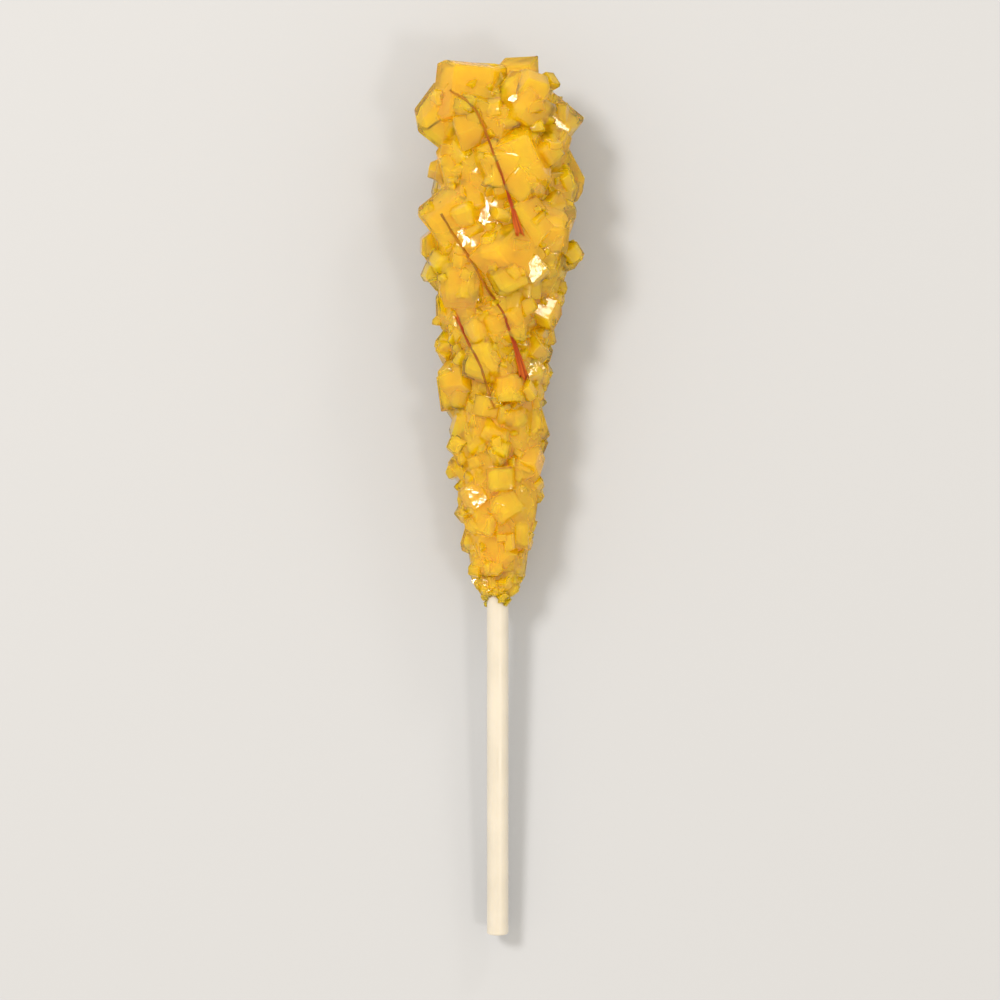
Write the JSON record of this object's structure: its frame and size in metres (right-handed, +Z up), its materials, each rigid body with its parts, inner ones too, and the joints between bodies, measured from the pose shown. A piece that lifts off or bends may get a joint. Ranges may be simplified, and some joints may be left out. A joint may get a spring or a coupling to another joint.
{
  "type": "rock candy stick",
  "caption": "Rock candy stirrer: saffron-yellow sugar crystals grown round one end of a white plastic stick, with red saffron threads.",
  "frame": {"origin": "on the table, under the middle of the stick's bounding box", "axes": "+Y along the stick towards the candy, +X to the right seen from above with the candy at the top, +Z up; the stick lies down with its shown side up"},
  "size_m": [0.0274, 0.1412, 0.0239],
  "materials": {
    "rock_candy": "clear saffron-yellow sugar crystals, glossy flat faces",
    "stick": "white moulded polypropylene, satin",
    "saffron": "dried saffron threads, deep red with orange ends"
  },
  "bodies": {
    "root": {"rock_candy": "rock_candy", "stick": "stick"}
  },
  "joints": []
}
